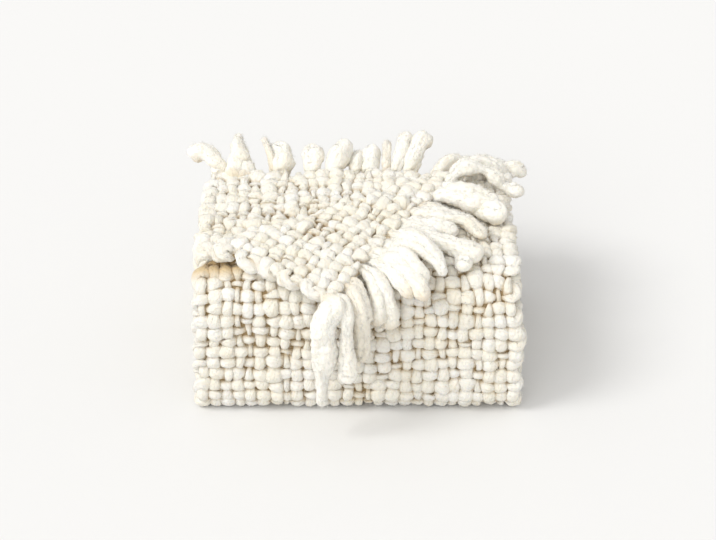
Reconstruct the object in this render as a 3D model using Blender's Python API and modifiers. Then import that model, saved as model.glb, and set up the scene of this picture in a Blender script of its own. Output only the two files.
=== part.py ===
"""A thick, loosely woven throw, folded into a bundle, with looped fringe at both ends.

The throw is one strip of cloth.  It is folded back and forth into a stack, its last turn
wraps up the front and over the top, and the free corner of that top layer is turned back
on the diagonal, so that its looped fringe fans out over the front.
Metres, +Z up.  The front faces -Y and the stack rests on z = 0.
"""
import math

import bmesh
import bpy
from mathutils import Vector

# ---------------------------------------------------------------- driving sizes
WIDTH = 0.420             # folded width, side to side
CLOTH = 0.012             # thickness of the woven cloth
PITCH = 0.0145            # from one layer to the next
LAYERS = 14               # layers in the stack, under the turned corner
FRONT = -0.154            # mid surface of the front wrap
BACK = 0.150              # where the folds at the back begin to turn
TOP_END = 0.096           # the fringed end of the top layer
SHOULDER = 0.050          # mid radius where the wrap turns onto the top
FOOT = 0.026              # mid radius where the wrap turns under
FOLD_INSET = 0.0220       # from the wrap's mid surface to the start of a front fold

CREASE_LEFT = (-0.210, -0.106)    # the diagonal fold, where it meets the selvedge
CREASE_RIGHT = (0.144, 0.100)     # the diagonal fold, where it meets the fringed end
CREASE_RADIUS = 0.0110            # mid radius of the soft diagonal fold
FLAP_SETTLE = 0.090               # how far from the crease the flap takes to lie down
FLAP_REST = 0.0150                # flap above the top layer, once it lies down
FLAP_DROOP = 0.55                 # how fast the overhanging corner sinks
OVERHANG = -0.110                 # where the flap leaves the top layer behind

FRINGE_GAP = 0.0030       # the fringe's heading keeps this far off the cloth
HEADING = 0.0055          # radius of the fringe's heading
HEADING_POINTS = 52       # points along the heading
ROOT_RADIUS = 0.0075      # a loop is at most this thick at its root
STEP = 0.006              # length of one step along a fringe loop
RESTING_GAP = 0.0025      # fringe loops lie this far off the cloth

COLUMNS = 8               # faces across the width
TURN_FACES = 5            # faces round a fold
LAYER_FACES = 3           # faces along a hidden layer
TOP_FACES = 8             # faces along the top layer
CREASE_FACES = 7          # faces round the diagonal fold

WOOL = (0.86, 0.80, 0.68, 1.0)
WOOL_FRINGE = (0.90, 0.86, 0.76, 1.0)

# How unevenly the hidden folds lie: how far each fold sticks out beyond the plain
# stack, and how much further at the right side than at the left.
FOLDS = {
    # fold under layer: (side, reach, skew)
    12: ("front", -0.0160, 0.003),
    11: ("back", 0.0000, -0.003),
    10: ("front", -0.0010, 0.000),
    9: ("back", -0.0030, 0.004),
    8: ("front", 0.0000, 0.000),
    7: ("back", 0.0010, -0.002),
    6: ("front", 0.0000, 0.000),
    5: ("back", -0.0040, 0.002),
    4: ("front", 0.0000, 0.000),
    3: ("back", 0.0000, -0.004),
    2: ("front", -0.0030, 0.000),
    1: ("back", -0.0020, 0.003),
}

# The loops of the fringe on the turned corner and on the rest of the top layer's end.
# along: from the corner, along the end.  heading and turn: degrees in plan, from +X.
# rise: degrees above level at the root.  sag: the radius in which its weight bends it.
FRONT_LOOPS = [
    dict(along=0.000, heading=-152, turn=26, rise=-32, length=0.144, radius=0.0140, sag=0.034),
    dict(along=0.012, heading=-62, turn=-75, rise=-16, length=0.114, radius=0.0100, sag=0.026),
    dict(along=0.034, heading=-58, turn=-14, rise=-14, length=0.102, radius=0.0095, sag=0.034),
    dict(along=0.046, heading=-64, turn=-10, rise=-6, length=0.054, radius=0.0080, sag=0.040),
    dict(along=0.076, heading=-52, turn=-32, rise=-2, length=0.102, radius=0.0150, sag=0.040),
    dict(along=0.098, heading=-40, turn=-18, rise=3, length=0.102, radius=0.0145, sag=0.065),
    dict(along=0.110, heading=-38, turn=-20, rise=8, length=0.084, radius=0.0135, sag=0.048),
    dict(along=0.138, heading=-34, turn=-24, rise=12, length=0.108, radius=0.0130, sag=0.055),
    dict(along=0.164, heading=-20, turn=-14, rise=14, length=0.120, radius=0.0115, sag=0.060),
    dict(along=0.184, heading=-24, turn=-50, rise=4, length=0.120, radius=0.0090, sag=0.036),
    dict(along=0.194, heading=-14, turn=-12, rise=12, length=0.066, radius=0.0115, sag=0.060),
    dict(along=0.222, heading=-10, turn=-12, rise=16, length=0.072, radius=0.0110, sag=0.060),
    dict(along=0.242, heading=-14, turn=-62, rise=8, length=0.108, radius=0.0095, sag=0.040),
    dict(along=0.272, heading=-8, turn=-24, rise=24, length=0.090, radius=0.0160, sag=0.060),
    dict(along=0.312, heading=40, turn=-100, rise=44, length=0.120, radius=0.0090, sag=0.050),
    dict(along=0.336, heading=64, turn=-110, rise=42, length=0.108, radius=0.0110, sag=0.044),
    dict(along=0.292, heading=-40, turn=-4, rise=14, length=0.108, radius=0.0120, sag=0.034),
    dict(along=0.372, heading=74, turn=-60, rise=34, length=0.066, radius=0.0105, sag=0.040),
    dict(along=0.398, heading=62, turn=-60, rise=28, length=0.060, radius=0.0100, sag=0.040),
]

# The loops of the fringe on the end of the layer below, along the back edge.
BACK_LOOPS = [
    dict(along=0.018, heading=108, turn=70, rise=74, length=0.066, radius=0.0115, sag=0.030),
    dict(along=0.046, heading=88, turn=10, rise=64, length=0.060, radius=0.0155, sag=0.070),
    dict(along=0.092, heading=104, turn=10, rise=66, length=0.054, radius=0.0050, sag=0.060),
    dict(along=0.103, heading=88, turn=6, rise=48, length=0.048, radius=0.0125, sag=0.055),
    dict(along=0.146, heading=88, turn=-6, rise=44, length=0.048, radius=0.0110, sag=0.055),
    dict(along=0.176, heading=68, turn=-10, rise=48, length=0.054, radius=0.0135, sag=0.070),
    dict(along=0.205, heading=84, turn=-10, rise=36, length=0.042, radius=0.0075, sag=0.050),
    dict(along=0.228, heading=92, turn=-12, rise=38, length=0.048, radius=0.0105, sag=0.055),
    dict(along=0.250, heading=86, turn=4, rise=52, length=0.054, radius=0.0060, sag=0.060),
    dict(along=0.262, heading=64, turn=8, rise=56, length=0.066, radius=0.0090, sag=0.080),
    dict(along=0.282, heading=66, turn=-8, rise=56, length=0.066, radius=0.0120, sag=0.075),
    dict(along=0.322, heading=46, turn=-10, rise=34, length=0.048, radius=0.0105, sag=0.045),
    dict(along=0.360, heading=95, turn=-20, rise=20, length=0.054, radius=0.0095, sag=0.040),
    dict(along=0.396, heading=75, turn=-20, rise=20, length=0.054, radius=0.0095, sag=0.040),
]

HALF = WIDTH / 2
TOP_LAYER = LAYERS - 1
BASE = CLOTH / 2


def clear_scene():
    for thing in list(bpy.data.objects):
        bpy.data.objects.remove(thing, do_unlink=True)


def smooth(a, b, value):
    """0 below a, 1 above b, and an even ramp with soft ends between them."""
    share = min(max((value - a) / (b - a), 0.0), 1.0)
    return share * share * (3 - 2 * share)


def layer_height(layer):
    """Mid height of a layer of the plain stack; layer 0 lies on the ground."""
    return BASE + PITCH * layer


TOP = layer_height(TOP_LAYER)
HEIGHT = TOP + PITCH + BASE


# ---------------------------------------------------------------- the folded section
def section_pieces():
    """The strip seen from the side, from the top layer's fringed end to the hidden end.

    Each piece is a straight run or a turn: (kind, length, start, direction or centre, faces, layer).
    """
    pieces = []

    def run(start, end, faces, layer=None):
        length = math.dist(start, end)
        direction = ((end[0] - start[0]) / length, (end[1] - start[1]) / length)
        pieces.append(dict(kind="run", length=length, start=start, direction=direction,
                           faces=faces, layer=layer))

    def turn(centre, radius, first, angle, faces, layer=None):
        pieces.append(dict(kind="turn", length=radius * abs(angle), centre=centre, radius=radius,
                           first=first, angle=angle, faces=faces, layer=layer))

    run((TOP_END, TOP), (FRONT + SHOULDER, TOP), TOP_FACES)
    turn((FRONT + SHOULDER, TOP - SHOULDER), SHOULDER, math.pi / 2, math.pi / 2, TURN_FACES + 1)
    run((FRONT, TOP - SHOULDER), (FRONT, BASE + FOOT), 4)
    turn((FRONT + FOOT, BASE + FOOT), FOOT, math.pi, math.pi / 2, TURN_FACES)
    start = FRONT + FOOT
    for layer in range(0, TOP_LAYER - 1):
        to_back = layer % 2 == 0
        reach = FOLDS[layer + 1][1]
        end = BACK + reach if to_back else FRONT + FOLD_INSET - reach
        height = layer_height(layer)
        run((start, height), (end, height), LAYER_FACES, layer + 1)
        middle = (end, height + PITCH / 2)
        angle = math.pi if to_back else -math.pi
        turn(middle, PITCH / 2, -math.pi / 2, angle, TURN_FACES, layer + 1)
        start = end
    height = layer_height(TOP_LAYER - 1)
    run((start, height), (BACK, height), LAYER_FACES * 2)
    return pieces


PIECES = section_pieces()
TOP_RUN = PIECES[0]["length"]


def section_point(along):
    """(y, z), the outward normal and the fold's layer at a distance along the strip."""
    if along <= 0:
        return (TOP_END - along, TOP), (0.0, 1.0), None
    for piece in PIECES:
        if along <= piece["length"] or piece is PIECES[-1]:
            break
        along -= piece["length"]
    if piece["kind"] == "run":
        dy, dz = piece["direction"]
        point = (piece["start"][0] + dy * along, piece["start"][1] + dz * along)
        return point, (dz, -dy), piece["layer"]
    sign = math.copysign(1.0, piece["angle"])
    angle = piece["first"] + sign * along / piece["radius"]
    normal = (math.cos(angle), math.sin(angle))
    point = (piece["centre"][0] + piece["radius"] * normal[0],
             piece["centre"][1] + piece["radius"] * normal[1])
    return point, normal, piece["layer"]


def row_positions():
    """Distances along the strip at which the cloth has a row of vertices."""
    rows = [0.0]
    for piece in PIECES:
        first = rows[-1]
        rows += [first + piece["length"] * (i + 1) / piece["faces"] for i in range(piece["faces"])]
    return rows


# ---------------------------------------------------------------- the turned corner
def crease_frame():
    ax, ay = CREASE_LEFT
    bx, by = CREASE_RIGHT
    length = math.dist(CREASE_LEFT, CREASE_RIGHT)
    return Vector((ax, ay)), Vector(((bx - ax) / length, (by - ay) / length))


CREASE_START, CREASE_ALONG = crease_frame()
CREASE_ACROSS = Vector((-CREASE_ALONG.y, CREASE_ALONG.x))


def slump(point):
    """Settle the plain stack: its upper edges sink and draw in, its front swells a little."""
    x, y, z = point
    share = min(max((z - BASE) / (HEIGHT - BASE), 0.0), 1.1)
    side = x / HALF
    narrow = 0.012 if x > 0 else 0.003
    x = x - side * narrow * share ** 3
    z = z - 0.004 * share * side ** 4
    z = z + 0.0025 * share * math.sin(17 * x + 0.6) * math.cos(13 * y - 0.4)
    y = y - 0.0035 * math.sin(math.pi * min(share, 1.0)) * math.cos(7 * x - 0.5) * smooth(0.1, -0.1, y)
    return Vector((x, y, z))


def top_point(x, y):
    """Mid surface of the top layer, with its back left corner turned over the crease."""
    offset = Vector((x, y)) - CREASE_START
    across = offset.dot(CREASE_ACROSS)
    begin = -math.pi * CREASE_RADIUS / 2
    if across <= begin:
        (py, pz), _, _ = section_point(TOP_END - y)
        return slump((x, py, pz))
    curved = (across - begin) / CREASE_RADIUS
    if curved < math.pi:
        landed = begin + CREASE_RADIUS * math.sin(curved)
        share = (1 - math.cos(curved)) / 2
    else:
        landed = begin - (across - begin - math.pi * CREASE_RADIUS)
        share = 1.0
    plan = CREASE_START + CREASE_ALONG * offset.dot(CREASE_ALONG) + CREASE_ACROSS * landed
    past = max(0.0, across - begin - math.pi * CREASE_RADIUS)
    rise = 2 * CREASE_RADIUS + (FLAP_REST - 2 * CREASE_RADIUS) * smooth(0.0, FLAP_SETTLE, past)
    droop = FLAP_DROOP * max(0.0, OVERHANG - plan.y) ** 1.5
    (py, pz), _, _ = section_point(TOP_END - plan.y)
    low = Vector((plan.x, py, pz))
    high = Vector((plan.x, plan.y, TOP + rise - droop))
    return slump(low.lerp(high, share))


def cloth_point(x, along):
    """Where a point of the flat strip lies once the throw is folded."""
    if along < TOP_RUN + SHOULDER:
        return top_point(x, TOP_END - along)
    (y, z), _, layer = section_point(along)
    if layer is not None:
        side, _, skew = FOLDS[layer]
        pull = smooth(-0.02, 0.12, y if side == "back" else -y)
        y += skew * pull * x / HALF * (1 if side == "back" else -1)
    return slump((x, y, z))


# ---------------------------------------------------------------- objects
def wool(name, colour):
    material = bpy.data.materials.new(name)
    material.use_nodes = True
    shader = material.node_tree.nodes["Principled BSDF"]
    shader.inputs["Base Color"].default_value = colour
    shader.inputs["Roughness"].default_value = 0.95
    shader.inputs["Metallic"].default_value = 0.0
    return material


def add_object(name, mesh, material, collection):
    thing = bpy.data.objects.new(name, mesh)
    mesh.materials.append(material)
    collection.objects.link(thing)
    return thing


def flat_strip():
    """The strip laid out flat in (x, distance along), cut along the diagonal fold."""
    rows = row_positions()
    strip = bmesh.new()
    bmesh.ops.create_grid(strip, x_segments=COLUMNS, y_segments=len(rows) - 1, size=1.0)
    for vertex in strip.verts:
        row = round((vertex.co.y + 1) / 2 * (len(rows) - 1))
        vertex.co = Vector((vertex.co.x * HALF, rows[row], 0.0))
    begin = -math.pi * CREASE_RADIUS / 2
    for i in range(CREASE_FACES + 1):
        across = begin + math.pi * CREASE_RADIUS * i / CREASE_FACES
        plan = CREASE_START + CREASE_ACROSS * across
        bmesh.ops.bisect_plane(strip, geom=strip.verts[:] + strip.edges[:] + strip.faces[:],
                               dist=1e-5, plane_co=(plan.x, TOP_END - plan.y, 0.0),
                               plane_no=(CREASE_ACROSS.x, -CREASE_ACROSS.y, 0.0))
    bmesh.ops.triangulate(strip, faces=strip.faces[:])
    return strip


def make_blanket(collection, material):
    strip = flat_strip()
    for vertex in strip.verts:
        vertex.co = cloth_point(vertex.co.x, vertex.co.y)
    mesh = bpy.data.meshes.new("blanket")
    strip.to_mesh(mesh)
    strip.free()
    blanket = add_object("blanket", mesh, material, collection)
    solid = blanket.modifiers.new("cloth", "SOLIDIFY")
    solid.thickness = CLOTH
    solid.offset = 0.0
    return blanket


# ---------------------------------------------------------------- fringe
def keep_off(point, gap):
    """Move a point of a fringe loop out of the folded stack, to a gap from its mid surface."""
    x, y, z = point
    if y > TOP_END:
        if y < BACK + PITCH / 2:
            z = max(z, TOP - PITCH + gap)
        elif z < TOP - PITCH:
            y = max(y, BACK + PITCH / 2 + gap)
        return Vector((x, y, z))
    if y > FRONT + SHOULDER:
        return Vector((x, y, max(z, TOP + gap)))
    if z < TOP - SHOULDER:
        return Vector((x, min(y, FRONT - gap), z))
    out = Vector((y - FRONT - SHOULDER, z - TOP + SHOULDER))
    if out.length < SHOULDER + gap:
        out = out.normalized() * (SHOULDER + gap)
        y = FRONT + SHOULDER + out.x
        z = TOP - SHOULDER + out.y
    return Vector((x, y, z))


def loop_path(root, row):
    """A fringe loop from its root: it sets off, sags, and lies on whatever is under it."""
    gap = CLOTH / 2 + row["radius"] + RESTING_GAP
    count = round(row["length"] / STEP)
    pitch = math.radians(row["rise"])
    points = [root.copy()]
    for i in range(count):
        share = (i + 0.5) / count
        heading = math.radians(row["heading"] + row["turn"] * share)
        level = math.cos(pitch)
        step = Vector((math.cos(heading) * level, math.sin(heading) * level, math.sin(pitch)))
        free = points[-1] + step * STEP
        held = keep_off(free, gap) if i > 1 and abs(free.x) < HALF else free
        points.append(held)
        pitch = max(pitch - STEP / row["sag"], math.radians(-88))
        moved = held - points[-2]
        if held != free and moved.length > 1e-6:
            pitch = max(pitch, math.asin(max(-1.0, min(1.0, moved.z / moved.length))))
    return points


def tube(name, points, radii):
    """A closed tube along a line of points, as a mesh object."""
    curve = bpy.data.curves.new(name, "CURVE")
    curve.dimensions = "3D"
    curve.bevel_depth = 1.0
    curve.bevel_resolution = 1
    curve.use_fill_caps = True
    spline = curve.splines.new("POLY")
    spline.points.add(len(points) - 1)
    for point, place, radius in zip(spline.points, points, radii):
        point.co = (*place, 1.0)
        point.radius = radius
    guide = bpy.data.objects.new(name + "_line", curve)
    bpy.context.scene.collection.objects.link(guide)
    bpy.context.view_layer.update()
    graph = bpy.context.evaluated_depsgraph_get()
    mesh = bpy.data.meshes.new_from_object(guide.evaluated_get(graph))
    bpy.data.objects.remove(guide, do_unlink=True)
    work = bmesh.new()
    work.from_mesh(mesh)
    bmesh.ops.remove_doubles(work, verts=work.verts[:], dist=1e-5)
    work.to_mesh(mesh)
    work.free()
    return mesh


def loop_radius(share, radius):
    """A loop is narrow at its root, full along its length and rounded at its tip."""
    start = min(0.62, ROOT_RADIUS / radius)
    root = start + (1 - start) * smooth(0.0, 0.25, share)
    tip = math.sqrt(max(0.0, 1 - max(0.0, (share - 0.88) / 0.13) ** 2))
    return radius * root * tip


def make_fringe(name, heading_line, roots, rows, collection, material, cutters):
    """One comb: a heading along the cloth's edge, with every loop joined to it."""
    heading_mesh = tube(name, heading_line, [HEADING] * len(heading_line))
    fringe = add_object(name, heading_mesh, material, collection)
    for number, (root, row) in enumerate(zip(roots, rows)):
        points = loop_path(root, row)[::2]
        radii = [loop_radius(i / (len(points) - 1), row["radius"]) for i in range(len(points))]
        tooth = bpy.data.objects.new(f"{name}_loop_{number}", tube("loop", points, radii))
        tooth.hide_render = True
        tooth.display_type = "WIRE"
        cutters.objects.link(tooth)
        join = fringe.modifiers.new(f"loop {number}", "BOOLEAN")
        join.operation = "UNION"
        join.solver = "EXACT"
        join.object = tooth
    return fringe


def front_fringe_line(x):
    """The heading of the top layer's fringe, just past its end at a place across the strip."""
    return top_point(x, TOP_END + FRINGE_GAP + HEADING)


def back_fringe_line(x):
    height = layer_height(TOP_LAYER - 1)
    return slump((x, BACK + FRINGE_GAP + HEADING, height))


def make_fringes(collection, material, cutters):
    inset = HEADING
    count = HEADING_POINTS
    across = [-HALF + inset + (WIDTH - 2 * inset) * i / count for i in range(count + 1)]
    front_line = [front_fringe_line(x) for x in across]
    front_roots = [front_fringe_line(-HALF + row["along"]) for row in FRONT_LOOPS]
    make_fringe("fringe_front", front_line, front_roots, FRONT_LOOPS, collection, material, cutters)
    back_line = [back_fringe_line(x) for x in across[::4]]
    back_roots = [back_fringe_line(-HALF + row["along"]) for row in BACK_LOOPS]
    make_fringe("fringe_back", back_line, back_roots, BACK_LOOPS, collection, material, cutters)


def stand_on_origin(collection, cutters):
    """Move the finished throw so that the middle of its underside box is at the origin."""
    bpy.context.view_layer.update()
    graph = bpy.context.evaluated_depsgraph_get()
    low = Vector((1.0, 1.0, 1.0))
    high = -low
    for thing in collection.objects:
        mesh = thing.evaluated_get(graph).to_mesh()
        for vertex in mesh.vertices:
            low = Vector(map(min, low, vertex.co))
            high = Vector(map(max, high, vertex.co))
    shift = Vector((-(low.x + high.x) / 2, -(low.y + high.y) / 2, -low.z))
    for thing in list(collection.objects) + list(cutters.objects):
        thing.location = shift


def main():
    clear_scene()
    collection = bpy.data.collections.new("folded_throw")
    bpy.context.scene.collection.children.link(collection)
    cutters = bpy.data.collections.new("fringe_loops")
    bpy.context.scene.collection.children.link(cutters)
    cloth = wool("ivory wool cloth", WOOL)
    fringe = wool("ivory wool fringe", WOOL_FRINGE)
    make_blanket(collection, cloth)
    make_fringes(collection, fringe, cutters)
    stand_on_origin(collection, cutters)


main()
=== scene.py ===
"""The look of a folded throw: a plain weave of thick-and-thin wool roving, with looped fringe.

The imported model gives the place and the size.  The weave is built as real yarns, lengthways
and crossways, that go over and under each other along the folded cloth's mid surface.
"""

import math

import bpy
import numpy as np
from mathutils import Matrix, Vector


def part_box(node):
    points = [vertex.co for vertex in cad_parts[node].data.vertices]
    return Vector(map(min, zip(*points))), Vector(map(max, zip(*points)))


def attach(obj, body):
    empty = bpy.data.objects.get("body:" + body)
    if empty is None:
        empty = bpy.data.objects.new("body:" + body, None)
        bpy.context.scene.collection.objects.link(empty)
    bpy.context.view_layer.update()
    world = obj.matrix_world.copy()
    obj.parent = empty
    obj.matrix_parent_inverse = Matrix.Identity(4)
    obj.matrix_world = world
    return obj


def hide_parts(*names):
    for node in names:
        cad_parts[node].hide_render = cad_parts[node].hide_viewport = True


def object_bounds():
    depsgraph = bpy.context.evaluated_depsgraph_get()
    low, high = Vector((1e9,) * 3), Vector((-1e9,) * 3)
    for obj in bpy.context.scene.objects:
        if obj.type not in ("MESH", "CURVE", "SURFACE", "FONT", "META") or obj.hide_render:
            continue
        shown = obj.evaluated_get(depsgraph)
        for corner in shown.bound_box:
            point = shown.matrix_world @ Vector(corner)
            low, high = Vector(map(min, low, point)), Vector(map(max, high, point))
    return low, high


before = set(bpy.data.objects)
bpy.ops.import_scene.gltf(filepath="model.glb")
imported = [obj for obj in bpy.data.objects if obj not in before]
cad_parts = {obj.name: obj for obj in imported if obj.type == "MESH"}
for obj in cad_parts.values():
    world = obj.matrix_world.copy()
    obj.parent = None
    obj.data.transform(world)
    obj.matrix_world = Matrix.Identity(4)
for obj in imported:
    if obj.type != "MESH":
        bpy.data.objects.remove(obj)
CAD_LOW, CAD_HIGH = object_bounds()

# ---------------------------------------------------------------- sizes shared with the part
WIDTH = 0.420             # folded width, side to side
CLOTH = 0.012             # thickness of the woven cloth
PITCH = 0.0145            # from one layer to the next
LAYERS = 14               # layers in the stack, under the turned corner
FRONT = -0.154            # mid surface of the front wrap
BACK = 0.150              # where the folds at the back begin to turn
TOP_END = 0.096           # the fringed end of the top layer
SHOULDER = 0.050          # mid radius where the wrap turns onto the top
FOOT = 0.026              # mid radius where the wrap turns under
FOLD_INSET = 0.0220       # from the wrap's mid surface to a front fold
CREASE_LEFT = np.array((-0.210, -0.106))     # the diagonal fold, at the selvedge
CREASE_RIGHT = np.array((0.144, 0.100))      # the diagonal fold, at the fringed end
CREASE_RADIUS = 0.0110    # mid radius of the diagonal fold
FLAP_SETTLE = 0.090       # how far from the crease the flap takes to lie down
FLAP_REST = 0.0150        # flap above the top layer, once it lies down
FLAP_DROOP = 0.55         # how fast the overhanging corner sinks
OVERHANG = -0.110         # where the flap leaves the top layer behind
FRINGE_GAP = 0.0030       # the fringe's heading keeps this far off the cloth
HEADING = 0.0055          # radius of the fringe's heading
STEP = 0.006              # length of one step along a fringe loop
RESTING_GAP = 0.0025      # fringe loops lie this far off the cloth

FOLDS = {
    # fold under layer: (side, reach, skew)
    12: ("front", -0.0160, 0.003),
    11: ("back", 0.0000, -0.003),
    10: ("front", -0.0010, 0.000),
    9: ("back", -0.0030, 0.004),
    8: ("front", 0.0000, 0.000),
    7: ("back", 0.0010, -0.002),
    6: ("front", 0.0000, 0.000),
    5: ("back", -0.0040, 0.002),
    4: ("front", 0.0000, 0.000),
    3: ("back", 0.0000, -0.004),
    2: ("front", -0.0030, 0.000),
    1: ("back", -0.0020, 0.003),
}

# (shape, along, heading, turn, rise, length, radius, sag): all but the shape are as in the part
FRONT_LOOPS = [
    ("tail", 0.000, -152, 26, -32, 0.144, 0.0140, 0.034),
    ("arch", 0.012, -62, -75, -16, 0.114, 0.0100, 0.026),
    ("finger", 0.034, -58, -14, -14, 0.102, 0.0095, 0.034),
    ("finger", 0.046, -64, -10, -6, 0.054, 0.0080, 0.040),
    ("fan", 0.076, -52, -32, -2, 0.102, 0.0150, 0.040),
    ("fan", 0.098, -40, -18, 3, 0.102, 0.0145, 0.065),
    ("bulb", 0.110, -38, -20, 8, 0.084, 0.0135, 0.048),
    ("point", 0.138, -34, -24, 12, 0.108, 0.0130, 0.055),
    ("club", 0.164, -20, -14, 14, 0.120, 0.0115, 0.060),
    ("knots", 0.184, -24, -50, 4, 0.120, 0.0090, 0.036),
    ("bulb", 0.194, -14, -12, 12, 0.066, 0.0115, 0.060),
    ("bulb", 0.222, -10, -12, 16, 0.072, 0.0110, 0.060),
    ("finger", 0.242, -14, -62, 8, 0.108, 0.0095, 0.040),
    ("puff", 0.272, -8, -24, 24, 0.090, 0.0160, 0.060),
    ("knots", 0.312, 40, -100, 44, 0.120, 0.0090, 0.050),
    ("club", 0.336, 64, -110, 42, 0.108, 0.0110, 0.044),
    ("club", 0.292, -40, -4, 14, 0.108, 0.0120, 0.034),
    ("bulb", 0.372, 74, -60, 34, 0.066, 0.0105, 0.040),
    ("bulb", 0.398, 62, -60, 28, 0.060, 0.0100, 0.040),
]
BACK_LOOPS = [
    ("club", 0.018, 108, 70, 74, 0.066, 0.0115, 0.030),
    ("peak", 0.046, 88, 10, 64, 0.060, 0.0155, 0.070),
    ("finger", 0.092, 104, 10, 66, 0.054, 0.0050, 0.060),
    ("ball", 0.103, 88, 6, 48, 0.048, 0.0125, 0.055),
    ("ball", 0.146, 88, -6, 44, 0.048, 0.0110, 0.055),
    ("ball", 0.176, 68, -10, 48, 0.054, 0.0135, 0.070),
    ("ball", 0.205, 84, -10, 36, 0.042, 0.0075, 0.050),
    ("ball", 0.228, 92, -12, 38, 0.048, 0.0105, 0.055),
    ("finger", 0.250, 86, 4, 52, 0.054, 0.0060, 0.060),
    ("ball", 0.262, 64, 8, 56, 0.066, 0.0090, 0.080),
    ("ball", 0.282, 66, -8, 56, 0.066, 0.0120, 0.075),
    ("bulb", 0.322, 46, -10, 34, 0.048, 0.0105, 0.045),
    ("bulb", 0.360, 95, -20, 20, 0.054, 0.0095, 0.040),
    ("bulb", 0.396, 75, -20, 20, 0.054, 0.0095, 0.040),
]

HALF = WIDTH / 2
TOP_LAYER = LAYERS - 1
BASE = CLOTH / 2
TOP = BASE + PITCH * TOP_LAYER
HEIGHT = TOP + PITCH + BASE

# ---------------------------------------------------------------- sizes of the yarn
WARPS = 27                # yarns along the strip
SELVEDGE = 0.0105         # from the outer warp to the cloth's edge
WEFT_PITCH = 0.0162       # from one crossing row to the next
SLUB = 0.025              # distance between changes of the roving's thickness
THIN = (0.0027, 0.0040)   # half widths of the roving
PLAIN = (0.0060, 0.0080)
FAT = (0.0086, 0.0116)
PUFF = 0.16               # how much fatter the fattest slubs of the loose parts are
DEEPEST = 0.0058          # the half thickness that the roving squashes to at most
DIVE = 1.35               # how abruptly a yarn dives between two crossings
SEED = 23
TIGHT = 0.010             # a turn of a smaller radius is a fold between two layers
TIGHT_REACH = 0.0064      # how far a yarn reaches towards the centre of such a fold
END_ROUND = 0.004         # length over which a tube's end closes
SHADE = 1.5               # how dark the painted shade in the hollow under the crease is
LOOP_SIDES = 14           # sides of a fringe strand's tube
LOOP_STEP = 0.0026        # length of its steps
HIGH = (12, 0.0030)       # sides of a yarn's tube where it shows, and length of its steps
LOW = (8, 0.0045)         # the same for hidden layers
TUCK = 0.048              # how far the edge yarns of hidden layers reach in
EDGE_WARPS = 3            # warps along each side that hidden layers have in full
SHEET_INSET = 0.009       # from the thin sheet's edge to the selvedge
CLOTH_FIBRES = (26000, 0.0065)      # how many loose fibres, and the longest one's length
FRINGE_FIBRES = (16000, 0.0080)


def smooth(a, b, value):
    share = np.clip((np.asarray(value, float) - a) / (b - a), 0.0, 1.0)
    return share * share * (3 - 2 * share)


# ---------------------------------------------------------------- the folded mid surface
def section_pieces():
    """The strip from the side: runs (start, direction) and turns (centre, first angle, sense)."""
    pieces = []

    def run(start, end, layer=0):
        length = math.dist(start, end)
        direction = ((end[0] - start[0]) / length, (end[1] - start[1]) / length)
        pieces.append(("run", length, start, direction, 0.0, layer))

    def turn(centre, radius, first, angle, layer=0):
        sense = math.copysign(1.0, angle)
        pieces.append(("turn", radius * abs(angle), centre, (first, sense), radius, layer))

    run((TOP_END, TOP), (FRONT + SHOULDER, TOP))
    turn((FRONT + SHOULDER, TOP - SHOULDER), SHOULDER, math.pi / 2, math.pi / 2)
    run((FRONT, TOP - SHOULDER), (FRONT, BASE + FOOT))
    turn((FRONT + FOOT, BASE + FOOT), FOOT, math.pi, math.pi / 2)
    start = FRONT + FOOT
    for layer in range(0, TOP_LAYER - 1):
        to_back = layer % 2 == 0
        reach = FOLDS[layer + 1][1]
        end = BACK + reach if to_back else FRONT + FOLD_INSET - reach
        height = BASE + PITCH * layer
        run((start, height), (end, height), layer + 1)
        angle = math.pi if to_back else -math.pi
        turn((end, height + PITCH / 2), PITCH / 2, -math.pi / 2, angle, layer + 1)
        start = end
    height = BASE + PITCH * (TOP_LAYER - 1)
    run((start, height), (BACK, height))
    return pieces


PIECES = section_pieces()
STARTS = np.concatenate([[0.0], np.cumsum([piece[1] for piece in PIECES])])
TOTAL = float(STARTS[-1])
WRAP_END = float(STARTS[4])
SECOND_START = float(STARTS[-2])


def section(along):
    """y and z of the plain section at distances along the strip."""
    index = np.clip(np.searchsorted(STARTS, along, side="right") - 1, 0, len(PIECES) - 1)
    y = np.zeros_like(along)
    z = np.zeros_like(along)
    for k in np.unique(index):
        kind, _, place, way, radius, _ = PIECES[k]
        here = index == k
        s = along[here] - STARTS[k]
        if kind == "run":
            y[here] = place[0] + way[0] * s
            z[here] = place[1] + way[1] * s
        else:
            angle = way[0] + way[1] * s / radius
            y[here] = place[0] + radius * np.cos(angle)
            z[here] = place[1] + radius * np.sin(angle)
    return y, z, index


def slump(x, y, z):
    share = np.clip((z - BASE) / (HEIGHT - BASE), 0.0, 1.1)
    side = x / HALF
    narrow = np.where(x > 0, 0.012, 0.003)
    x = x - side * narrow * share ** 3
    z = z - 0.004 * share * side ** 4
    z = z + 0.0025 * share * np.sin(17 * x + 0.6) * np.cos(13 * y - 0.4)
    swell = np.sin(math.pi * np.minimum(share, 1.0)) * np.cos(7 * x - 0.5)
    y = y - 0.0035 * swell * smooth(0.1, -0.1, y)
    return np.stack([x, y, z], axis=-1)


ALONG_CREASE = (CREASE_RIGHT - CREASE_LEFT) / np.linalg.norm(CREASE_RIGHT - CREASE_LEFT)
ACROSS_CREASE = np.array((-ALONG_CREASE[1], ALONG_CREASE[0]))


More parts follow.
